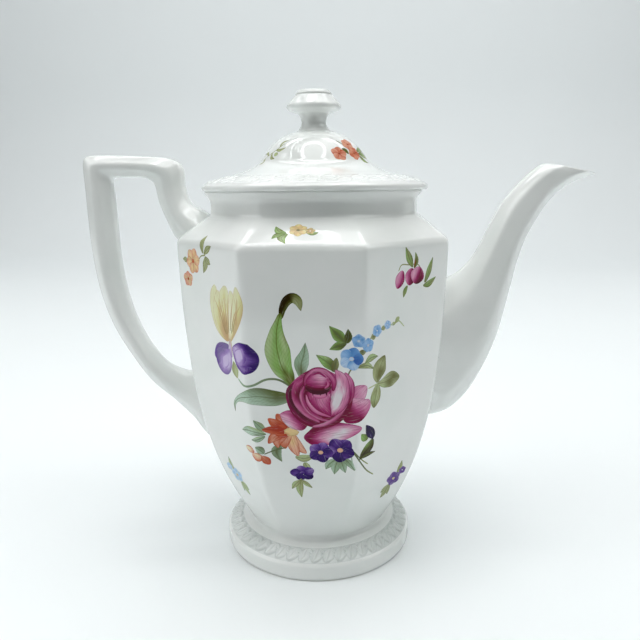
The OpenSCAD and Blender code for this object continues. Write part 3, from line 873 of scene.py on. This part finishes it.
def draw_rose(m):
    """The full rose in the middle of the bouquet."""
    pens = dict(ink="r", rim=0.5, streak=0.9)
    m.patch("Mnq nqQ qQQ qQq", (19, -6, 2.2), (23.4, -1.6, 4.2), (27, 1.4, 3.6), ends=(30, 2.5), **pens)
    m.patch("rrrr MrrM QqnMr QQqqn qQQqq qqqq", (15.6, -10.6, 5.2), (21.4, -9.6, 6.2), (26.4, -7.4, 4.8),
            (28.8, -5.4, 3.4), ends=(30, 3), **pens)
    m.patch("MMMM rMrrM rrMnMM rrnQqM rrQQwQ rnQwwQ MqwwQq nQQqn nqqn", (-0.8, -23.6, 4.6), (4, -23.2, 6.4),
            (10, -21.2, 6.4), (17, -19.8, 5.6), (24.8, -18.4, 4.2), ends=(3, 3), **pens)
    m.patch("rrrr QnMrr wQqMrM wQQqnM QQqn qqn", (1, -17.4, 3.4), (-4, -14.8, 4.8), (-8.2, -13, 3.6),
            (-10.8, -12, 1.8), ends=(30, 4), **pens)
    # the globe
    m.patch("nMMr nMrrr rRrrr MrRRrr nqMRrr nnrRrr nqrrr", (-7.7, -3.4, 17.4), (6.2, -4.4, 19),
            (20.6, -3, 18), ends=(2, 2), ink="r", rim=0.3, streak=0.7)
    m.patch("rM rRM rRM rRM rM", (-2.4, 3.8, 0.6), (-6, -0.6, 1.6), (-5.2, -7, 1.9), (-1, -13, 1.7),
            (6, -17.4, 0.8), ink="R", rim=0.3, streak=0.8)
    m.strokes(
        ("nM rnn Rrn Rnq rnq nn", (0.2, 5.2, 0.8), (-2.9, 1.4, 1.9), (-3.2, -5, 1.9), (0.4, -11, 1.5),
         (6.4, -15.6, 0.7)),
        ("Mn Rnq rMq rnq nq", (0.2, 1.8, 0.5), (-0.9, -3.4, 1.2), (1.6, -9.4, 1.4), (7, -13.8, 0.8),
         (12, -15, 0.3)), **pens)
    m.patch("qn Qqn qnr Qqr nn", (3, -18, 0.6), (8.4, -16.6, 0.9), (13.6, -13.4, 1.1), (17.4, -8, 0.9),
            (19.2, -3, 0.4), ink="R", rim=0.6, streak=0.6)
    m.patch("nqq nqM nMr rrR", (17.4, 8, 0.7), (19.6, 3.4, 1.6), (19.8, -2, 1.6), (18.2, -7, 1), ink="R",
            rim=0.5, streak=0.8)
    m.patch("qqqqn qQqqqM nqqQwqq nqwwwqn nqqwwwM nqwwqM MnqnM rMMr", (13.4, 9.2, 1.8), (15.6, 5.4, 3.6),
            (15.6, 0, 4.2), (14.4, -5, 4.4), (12.2, -9.8, 3), (10.8, -13, 0.5), ends=(4, 30), ink="R",
            rim=0.7, streak=0.8)
    m.patch("qw www www wq", (15.6, 2, 0.5), (14.8, -2.4, 1.7), (13.2, -7.2, 1.5), (11.8, -9.6, 0.4),
            ink="q", rim=0.3, streak=0.3)
    m.patch("nMnMM qqqnnr nqqqnMr MnqnMr MnMr MMr", (5.8, 0.4, 5.4), (6, -3.6, 5.6), (7.6, -8, 4.2),
            (11.2, -12.4, 0.8), ends=(8, 30), ink="R", rim=0.8, streak=0.9)
    m.patch("qq Qqn qqn nn", (0.8, -2.4, 0.2), (1.8, -6.6, 0.7), (5.2, -10.6, 0.8), (11.2, -12.9, 0.3),
            ink="n", rim=0.2, streak=0.4)
    m.patch("qn qqn qqn nn", (2.4, -1, 0.3), (5, -3, 0.9), (8.4, -3, 0.9), (10.8, -1.2, 0.3), ink="M",
            rim=0.2, streak=0.5)
    m.patch("rMr Mnn nqM nqM nqM Mnr rMr", (12.4, -0.6, 0.8), (12.6, 4.4, 1.2), (9.4, 8.2, 1.2),
            (5, 8.9, 1.2), (1.4, 6, 1.2), (0.2, 1.4, 1), ink="R", rim=0.7, streak=0.8)
    m.patch("MMr MnMR nqnMR qQqnrR qQqMR nqMrR MMrR", (0.8, 3, 5.6), (6.2, 3.2, 6.8), (11.6, 3, 5.8),
            ends=(2, 2), ink="R", rim=0.5, streak=0.9)
    m.patch("rR rRR rRR rRR rR", (0.6, 1.6, 0.4), (3, -0.2, 1.4), (6.2, -0.8, 1.6), (9.6, 0, 1.3),
            (11.6, 1.6, 0.4), ink="R", rim=0.1, streak=0.5)
    for u in (3.6, 6.8, 9.4):
        m.patch("R R", (u, -0.4, 0.7), (u + 0.2, -2.8, 0.1), ink="R", rim=0, streak=0)
    m.patch("nM MM nM", (3.2, 6.6, 0.3), (6.6, 7.6, 0.5), (9.6, 5.6, 0.3), ink="R", rim=0.2)
    m.patch("Mn nq nn", (9.8, 5.2, 0.3), (10.4, 2.4, 0.5), (8.8, 0.6, 0.3), ink="n", rim=0.2)


def draw_orange_flower(m):
    """The orange flower beside the rose, with three buds."""
    pens = dict(ink="A", rim=0.7, streak=1)
    m.strokes(
        ("FEe EEa EEe eEe", (-7, -21, 1.6), (-3.6, -28, 2.4), (0, -32, 1.9)),
        ("FEE EFE eEEe eEe", (-7, -21, 1.8), (-5.6, -28, 2.8), (-3.6, -33.6, 2)),
        ("FEe eEe aeea eae", (-7.4, -21, 1.8), (-9.4, -26, 2.6), (-9.4, -29.8, 1.8)),
        ("aaE eea aeEa aea", (-8, -21, 1.6), (-12.4, -25.4, 2.6), (-12.6, -29.4, 1.6)),
        ("AaA aaEa eEea aaa", (-8, -20.6, 1.6), (-13.8, -23.6, 2.5), (-16.8, -27.2, 1.6)),
        ("AAa aaa aeaa aaa", (-7.6, -18.8, 1.8), (-10.2, -15.4, 2.8), (-12.4, -12, 2.2)),
        ("AAA aAa aaea aaa", (-8, -19.4, 1.6), (-13, -17, 2.6), (-16.2, -14.4, 1.8)),
        ("AAA aAA eaAa aaA", (-8, -20.2, 1.6), (-14, -20.2, 2.4), (-19.2, -20.2, 1.8)),
        ("AA AaA aa", (-7, -20, 1.4), (-9.4, -18.2, 1.4), (-11.8, -17.6, 1)),
        ("AA AaA aa", (-8, -22, 1.2), (-10.6, -22.6, 1.5), (-13.4, -22.4, 1)), ends=(30, 2.5), **pens)
    m.patch("fFa FFf FfO", (-9.4, -20.6, 2.6), (-6.2, -20.8, 2.9), (-3, -21.2, 2.4), ends=(2, 2), ink="O",
            rim=0.9, streak=1)
    for k in range(9):
        angle = k * 0.7
        u, v = -6.2 + 3.1 * math.cos(angle), -20.8 + 2 * math.sin(angle)
        m.patch("f", (u - 0.35, v, 0.5), (u + 0.35, v, 0.5), ink="A", ends=(2, 2), rim=0.5)
    m.strokes(
        ("EyE eyE Eee", (-30, -31.4, 2.2), (-26.8, -31.8, 2.6), (-23.8, -32.4, 2)),
        ("EEe EyEa eEa", (-25.8, -34.2, 2.6), (-22.4, -35, 3.2), (-19.2, -35.4, 2.6)),
        ("eEa aea Aaa", (-20.2, -34, 2), (-18.2, -36.4, 2.8), (-16.6, -38.6, 2)), ends=(2, 2), **pens)
    m.stem([(-19, -33), (-14, -30.6), (-9, -29)], 0.3, "S")


def draw_violets(m):
    """Two dark violets on the rose's lowest petal and a small one below."""
    pens = dict(ink="x", rim=0.35, streak=0.9)
    m.bloom(15, -29.6, 6.6, "VVV vVv mvV,VVV Vvv VVm,VVV vmv vmm,VVV VVV VxV,VVV VVv VVV", turn=50,
            centre="E", wide=0.56, **pens)
    m.bloom(6.4, -31, 5.6, "VVV vvv mmv,VVV mvv vmm,VVV vVv VVv,VVV VVV xVV,VVV VVv Vvv", turn=70,
            centre="E", wide=0.56, **pens)
    m.bloom(-2, -42.8, 5.9, "VVV VVV VxV,VVV vvv vmv,VVV mvv mmv,VVV vvV vVV,VVV VVV VVV", turn=-40,
            centre=None, wide=0.46, squash=0.72, **pens)
    m.patch("mvV vVV", (-3.4, -42.8, 1), (-2.2, -42.6, 1.2), (-1, -42.8, 1), ends=(2, 2), **pens)
    m.leaves("uuz uzh zh", ([(-2.8, -46, 0.5), (-3.8, -52, 1.7), (-3.2, -58, 0.2)],
                            [(-3.2, -47, 0.4), (-5.6, -49.4, 1.5), (-7.4, -52.6, 0.2)],
                            [(-2.4, -47, 0.4), (-0.6, -49.2, 1.2), (2, -51.6, 0.2)]),
             ink="U", rib=0.6)


def draw_blue_spray(m):
    """Small blue flowers on a spray that thins out to the right."""
    pens = dict(ink="b", rim=0.45, streak=0.8)
    m.stem([(24, 19), (30, 23), (36, 25.6), (42, 26.6), (45.6, 27.6), (49.4, 24.4)], 0.28, "u z z")
    m.bloom(23.2, 21.8, 3, "ddd dbd DdD,ddd ddb Ddd", turn=90, centre="D", wide=0.6, **pens)
    m.bloom(27.6, 19.6, 3.2, "bdd ddD ddb,ddd Ddd dbd", turn=20, centre="D", wide=0.6, **pens)
    m.patch("UsU USu su", (23.2, 17, 1.2), (24.8, 16.8, 1.7), (26.4, 17, 1), ends=(2, 2), ink="S")
    m.bloom(20.2, 14, 5.2, "bbb Bbb bbd,bbb ddb Ddd,bdd DDD DDD,bbb dDd DDd,BBB bBB bbB", turn=70,
            centre="D", wide=0.58, **pens)
    m.patch("uzu zUz uzu", (29, 22.6, 1.4), (30.6, 23, 2), (32, 23.2, 1.2), ends=(2, 2), ink="U")
    m.bloom(32.6, 25.2, 2.7, "dbd ddd dDd,ddb dDd Ddd", turn=60, centre=None, wide=0.62, **pens)
    m.patch("uzu zuz uz", (35, 25.6, 1.1), (36.4, 25.8, 1.5), (37.6, 25.8, 0.9), ends=(2, 2), ink="U")
    m.bloom(38.8, 26.8, 2, "ddd dDd DDd", turn=30, centre=None, wide=0.62, **pens)
    m.patch("zDz zzu zz", (41.2, 26.4, 0.8), (42.4, 26.8, 1.1), (43.8, 26.8, 0.6), ends=(2, 2), ink="u")
    m.patch("uz zh zz", (43.6, 27, 0.5), (44.8, 28.4, 1.2), (46, 29.2, 0.3), ink="u", rib=0.3)


def draw_orange_sprig(m, u, v):
    pens = dict(ink="a", rim=0.5, streak=0.9)
    m.stem([(u + 3, v - 1), (u + 7, v + 2.6), (u + 11, v + 3.4)], 0.3, "u")
    m.leaves("uuz uzu zu", (
        [(9, 4, 0.5), (8.2, 8.4, 1.7), (10.8, 13.6, 0.2)],
        [(9.8, 3.8, 0.5), (12.8, 6, 1.6), (16, 7.6, 0.2)],
        [(11, 2.8, 0.5), (10.6, -0.6, 2.1), (8.6, -4.6, 0.3)],
        [(10.6, 2.8, 0.5), (13, 0.8, 1.5), (14.8, -0.4, 0.2)],
        [(-5, -1, 0.4), (-7, 0.2, 1.3), (-9.4, 0.2, 0.2)]), (u, v), ink="U", rib=0.6)
    m.bloom(u - 5.6, v - 8.6, 4.4, "ooE EoE eEE,ooE eEe EeE", turn=20, centre="A", squash=0.8, **pens)
    m.bloom(u, v, 6, "ooe FFo EEe,ooe EFE EoE", count=6, turn=70, centre="a", **pens)


def draw_pink_sprig(m, u, v):
    pens = dict(ink="r", rim=0.5, streak=0.6)
    m.stem([(u - 9, v + 3), (u - 7, v + 5.6), (u - 2, v + 5.2), (u + 3, v + 5), (u + 6, v + 2)], 0.25, "u")
    m.leaves("Guu ugG guu gu", (
        [(0, 4, 0.5), (-2.4, 8, 1.9), (-4.8, 13, 0.2)], [(8, -3.6, 0.6), (10.6, 1.6, 1.6), (13, 7.4, 0.2)],
        [(7, -4.8, 0.5), (11, -4.2, 1.5), (15.4, -1.6, 0.2)],
        [(-3.2, -3.6, 0.4), (-4.8, -6, 1.2), (-5.6, -8.6, 0.2)]), (u, v), ink="G", rib=0.6)
    m.leaves("AGG AGu uGu gu", ([(0.8, 3.6, 0.5), (2.2, 6.6, 1.3), (1.4, 10.4, 0.2)],), (u, v), ink="G")
    for a, b, half, lean, tones in ((-8, -0.6, 3, 1.7, "MrnqQ MMnqQq rMnqQq MrMnnq"),
                                    (-1.4, 0, 3.8, 0.8, "Mrnq rrRMnq rRrMqQ rrMMnn"),
                                    (3, 0.2, 4.8, 1.2, "nMnqQq nrMqQq MrrMQQq rRrMnQq RRRrMn")):
        m.patch(tones, (u + a + lean, v + b + 3.7, half), (u + a, v + b, half * 1.25),
                (u + a - lean, v + b - 3.7, half), ends=(2, 2), **pens)


def draw_small_sprig(m, u, v, petals, leaf, ink, side=1):
    """A little flower with a bud and four leaves. side flips it left for right."""
    pens = dict(ink=ink, rim=0.4, streak=0.9)
    m.leaves(leaf, ([(2, 2, 0.4), (4.2, 6, 1.6), (5.2, 10.4, 0.2)],
                    [(-2, -3, 0.5), (-5.4, -5.4, 1.8), (-8.4, -7, 0.3)],
                    [(-3, -4, 0.5), (-5.8, -8, 1.7), (-8.4, -11, 0.2)],
                    [(-2, -4, 0.4), (-3.4, -7.4, 1.3), (-3.6, -10.4, 0.2)]),
             (u, v), side, ink="S", rib=0.6)
    m.bloom(u + 6 * side, v + 3.4, 2.6, petals, turn=15, centre=None, wide=0.6, **pens)
    m.bloom(u, v, 4.8, petals, turn=100, centre="f", wide=0.56, **pens)


def draw_shoulder_sprig(m):
    pens = dict(ink="O", rim=0.6, streak=1)
    m.leaves("Ggg ghG gh", ([(-6, 69, 0.6), (-8.4, 66.4, 1.9), (-6.6, 62.4, 0.2)],
                            [(-6.6, 69.4, 0.5), (-9.8, 70.6, 1.7), (-11.4, 74, 0.2)],
                            [(-7, 68.8, 0.5), (-10.4, 68, 1.4), (-12.4, 65.6, 0.2)],
                            [(1.4, 70, 0.4), (4.2, 69, 1.2), (6.6, 69.8, 0.2)]), ink="G", rib=0.6)
    m.bloom(-1.8, 71.4, 4, "UOY YFo FYO,UOY YFo oYF", count=6, turn=30, centre="U", squash=1.05, **pens)
    m.bloom(3.2, 70.8, 2.2, "UOo YOu uYu", turn=10, centre=None, **pens)


def draw_lid_flowers(m):
    """Three orange-red flowers on the dome, with leaves beyond them."""
    pens = dict(ink="A", centre="A", wide=0.56, rim=0.35, streak=0.6)
    m.leaves("GGu ugu Gu", ([(8, 4, 0.4), (13, 5.4, 1.5), (17.4, 4.6, 0.2)],
                            [(9, 3, 0.5), (14, 2.2, 1.7), (19, 0.4, 0.2)],
                            [(9, 2, 0.4), (11.6, -1, 1.4), (15, -2.6, 0.2)]), ink="G", rib=0.5)
    m.stem([(-1.6, 10.4), (1, 8), (4, 6), (9, 3)], 0.25, "U")
    m.patch("GUG UGU GU", (-1, 5.6, 1.2), (0.6, 4.4, 1.6), (1.6, 2.4, 1), ink="G", ends=(2, 2))
    m.bloom(-3.6, 2.6, 3.9, "AaE aeE EeE,AaE aeE eEe", turn=80, **pens)
    m.bloom(4, 8.2, 3.6, "aeE EeE EEe,aeE eEE Ee", count=6, turn=20, **pens)
    m.bloom(5.6, 3, 3.8, "AaE aeE EaE,AaE eEa aeE", turn=50, **pens)


def draw_lid_twig(m):
    """A thin olive twig on the dome with a pale bud."""
    m.stem([(-7, -0.6), (-3, 2.4), (1, 5.2), (4, 9)], 0.22, "u")
    m.leaves("uzu uzz uz", (
        [(-3, 2.2, 0.3), (-5.8, 3.8, 0.8), (-8, 3.2, 0.2)], [(-1, 3.8, 0.3), (0.4, 1, 0.8), (3, 0.4, 0.2)],
        [(1, 5.4, 0.3), (3.8, 5, 0.9), (6.4, 6.4, 0.2)], [(2.4, 7, 0.3), (2, 9.6, 0.7), (4.4, 11.4, 0.2)],
        [(-5, 0.8, 0.3), (-5, -1.6, 0.7), (-7.6, -3, 0.2)]), ink="U", rib=0.4)
    m.patch("zhz uzh zz", (1.4, 3.6, 1), (2.6, 2.8, 1.5), (4, 2.6, 0.9), ink="u", ends=(2, 2))


def transfer_print():
    """Enamel print fired into the glaze: the painted tones with brush marks along each stroke, thin
    drawn edges, and veins on the leaves."""
    n = Nodes("transfer_print")

    def drawn(name):
        return n.add("ShaderNodeAttribute", attribute_name=name).outputs

    paint, ink = drawn("paint")["Color"], drawn("ink")["Color"]
    rim, streak, rib = n.split(drawn("pen")["Vector"])
    edge, across, along = n.split(drawn("stroke")["Vector"])
    marks = n.noise(1.0, 3, 0.6, n.join(n.times(across, 1.9), n.times(along, 0.16)))
    tone = n.blend(n.times(streak, n.remap(marks, 0.46, 0.7, 0, 0.5)), paint, ink)
    tone = n.blend(n.times(streak, n.remap(marks, 0.44, 0.28, 0, 0.22)), tone, rgb(240, 240, 236))
    # side veins that lean toward the tip, and the middle rib
    off_centre = n.math("ABSOLUTE", across)
    bent = n.math("DIVIDE", n.math("SUBTRACT", along, n.times(off_centre, 1.3)), 2.1)
    from_vein = n.math("ABSOLUTE", n.math("SUBTRACT", n.math("FRACT", bent), 0.5))
    tone = n.blend(n.times(n.remap(from_vein, 0.02, 0.1, 0.45, 0), rib), tone, ink)
    tone = n.blend(n.times(n.remap(off_centre, 0.1, 0.32, 0.9, 0), rib), tone, ink)
    # the line round the edge, thinner where the pen ran dry
    dry = n.remap(n.noise(0.9, 2, 0.5, n.join(along, across)), 0.3, 0.62, 0.35, 1.0)
    tone = n.blend(n.times(n.times(rim, dry), n.remap(edge, 0.08, 0.45, 1, 0)), tone, ink)
    return n.surface({"Base Color": tone, "Normal": n.ripple(n.place()), "Roughness": 0.08,
                      "IOR": 1.42, "Specular IOR Level": 0.22})


PRINT = transfer_print()
FRONT, BACK = -math.pi / 2, math.pi / 2
pot_skin = Surface(pot_outline, 100, True, "pot")
lid_skin = Surface(lid_outline, rim_z + 14, False, "lid")
# Each print on the pot: its name, its drawing, the height in millimetres at which it starts above the
# glaze, so that the bouquet's parts lie one over another, and what else its drawing takes.
POT_PRINTS = [
    ("leaves", draw_greens, 0.03), ("tulip", draw_tulip, 0.03), ("blue_spray", draw_blue_spray, 0.12),
    ("orange_flower", draw_orange_flower, 0.12), ("rose", draw_rose, 0.3),
    ("violets", draw_violets, 0.48), ("orange_sprig", draw_orange_sprig, FLOOR, -62.5, 52),
    ("pink_sprig", draw_pink_sprig, FLOOR, 54, 46),
    ("pale_sprig", draw_small_sprig, FLOOR, -44, -56, "DDD DdD dDD", "hzz hzt th", "z", -1),
    ("violet_sprig", draw_small_sprig, FLOOR, 47.5, -57, "vvv PvP mPv", "uuz uzu", "V", 1),
    ("shoulder_sprig", draw_shoulder_sprig, FLOOR)]
LID_PRINTS = [("flowers_front", draw_lid_flowers, FRONT + 0.72),
              ("twig_front", draw_lid_twig, FRONT - 0.82), ("flowers_back", draw_lid_flowers, BACK + 0.2)]

for facing, turn in (("front", FRONT), ("back", BACK)):
    for name, draw, floor, *details in POT_PRINTS:
        motif = Motif("print_%s_%s" % (name, facing), floor)
        draw(motif, *details)
        motif.wrap(pot_skin, turn, PRINT, "pot_glaze")
for name, draw, turn in LID_PRINTS:
    motif = Motif("print_lid_" + name)
    draw(motif)
    motif.wrap(lid_skin, turn, PRINT, "lid_glaze")


# ---------------------------------------------------------------- stage, light and camera
def stage_material(name, colour, rough):
    n = Nodes(name)
    tone = n.blend(n.noise(7, 2, 0.5, n.place()), colour, tuple(c * 0.985 for c in colour[:3]) + (1,))
    return n.surface({"Base Color": tone, "Roughness": rough})


def stage_mesh(name, points, faces, material):
    """A piece of the set, which is no part of the object."""
    mesh = bpy.data.meshes.new(name)
    mesh.from_pydata(points, [], faces)
    mesh.materials.append(material)
    piece = add_object(name, mesh)
    return piece


def circle(radius, z, steps):
    turns = [2 * math.pi * k / steps for k in range(steps)]
    return [(radius * math.cos(turn), radius * math.sin(turn), z) for turn in turns]


def build_stage():
    """A white sweep: a floor that curves up into a pale grey-blue backdrop."""
    profile = filleted([(-0.45, 0.0), (1.7, 0.0, 0.5), (1.7, 2.4)], 0.05)
    points = [(x, y, z) for y, z in profile for x in (-3.2, 3.2)]
    faces = [(2 * i, 2 * i + 1, 2 * i + 3, 2 * i + 2) for i in range(len(profile) - 1)]
    sweep = stage_mesh("sweep", points, faces, stage_material("sweep_paper", rgb(240, 244, 245), 0.7))
    sweep.data.polygons.foreach_set("use_smooth", [True] * len(faces))


def build_surround():
    """A pale room beyond the sweep, seen by the camera only, so that no view ends in the dark."""
    around, radius, height = 64, 3.6, 3.0
    points = [(0, 0, -0.01), *circle(radius, -0.01, around), *circle(radius, height, around),
              (0, 0, height)]
    faces = [(0, 1 + k, 1 + (k + 1) % around) for k in range(around)]
    faces += grid_faces(2, around, first=1)
    faces += [(len(points) - 1, 1 + around + k, 1 + around + (k + 1) % around) for k in range(around)]
    paper = Nodes("surround_paper").surface({
        "Base Color": (0, 0, 0, 1), "Specular IOR Level": 0.0,
        "Emission Color": rgb(228, 234, 236), "Emission Strength": 1.0})
    surround = stage_mesh("surround", points, faces, paper)
    surround.visible_diffuse = surround.visible_glossy = surround.visible_shadow = False
    surround.visible_transmission = False


def area_light(name, size, power, place, aim, colour=(1, 1, 1)):
    light = bpy.data.lights.new(name, "AREA")
    light.shape = "RECTANGLE"
    light.size, light.size_y = size
    light.energy = power
    light.color = colour
    lamp = add_object(name, light)
    lamp.location = place
    lamp.rotation_euler = (Vector(aim) - Vector(place)).to_track_quat("-Z", "Y").to_euler()


def ring_lamp(name, place, inner, outer, strength):
    """A flat glowing ring that faces down."""
    steps = 96
    glow = Nodes(name).surface({"Emission Color": (1, 1, 1, 1), "Emission Strength": strength})
    ring = stage_mesh(name, circle(inner, 0, steps) + circle(outer, 0, steps), grid_faces(2, steps), glow)
    ring.location = place
    ring.visible_camera = False


def build_lights():
    area_light("window_left", (1.4, 1.6), 13.0, (-1.5, -0.5, 1.1), (0, 0, 0.1), (0.97, 1.0, 0.99))
    area_light("overhead", (1.6, 1.2), 13.0, (0.1, -0.2, 1.9), (0, 0, 0), (1, 1, 1))
    area_light("high_right", (0.9, 1.0), 7.0, (1.3, -0.2, 1.3), (0, 0, 0.12), (0.97, 1.0, 0.98))
    area_light("backdrop", (3.0, 0.5), 20.0, (0, 0.9, 2.3), (0, 1.7, 0.9), (0.97, 0.99, 1.0))
    ring_lamp("ring_small", (0, -0.25, 1.2), 0.27, 0.34, 8.0)
    ring_lamp("ring_large", (0, -0.25, 1.2), 0.62, 0.67, 4.0)
    world = bpy.data.worlds.new("studio")
    world.use_nodes = True
    background = world.node_tree.nodes["Background"].inputs
    background["Color"].default_value = rgb(240, 244, 244)
    background["Strength"].default_value = 0.045
    bpy.context.scene.world = world


def build_camera():
    """A 35 mm view from a little right of the pot's front, 12 degrees down, held slightly off level."""
    lens = bpy.data.cameras.new("camera")
    lens.lens, lens.sensor_width = 35.06, 36
    forward = Vector((-0.0839, 0.97398, -0.21052)).normalized()
    right = forward.cross(Vector((0, 0, 1))).normalized()
    up = right.cross(forward)
    roll = math.radians(0.604)
    right, up = (right * math.cos(roll) - up * math.sin(roll),
                 up * math.cos(roll) + right * math.sin(roll))
    turn = Matrix((right, up, -forward)).transposed().to_4x4()
    camera = add_object("camera", lens)
    camera.matrix_world = Matrix.Translation((0.02873, -0.31093, 0.18437)) @ turn
    bpy.context.scene.camera = camera


build_stage()
build_surround()
build_lights()
build_camera()
bpy.context.scene.view_settings.view_transform = "Standard"
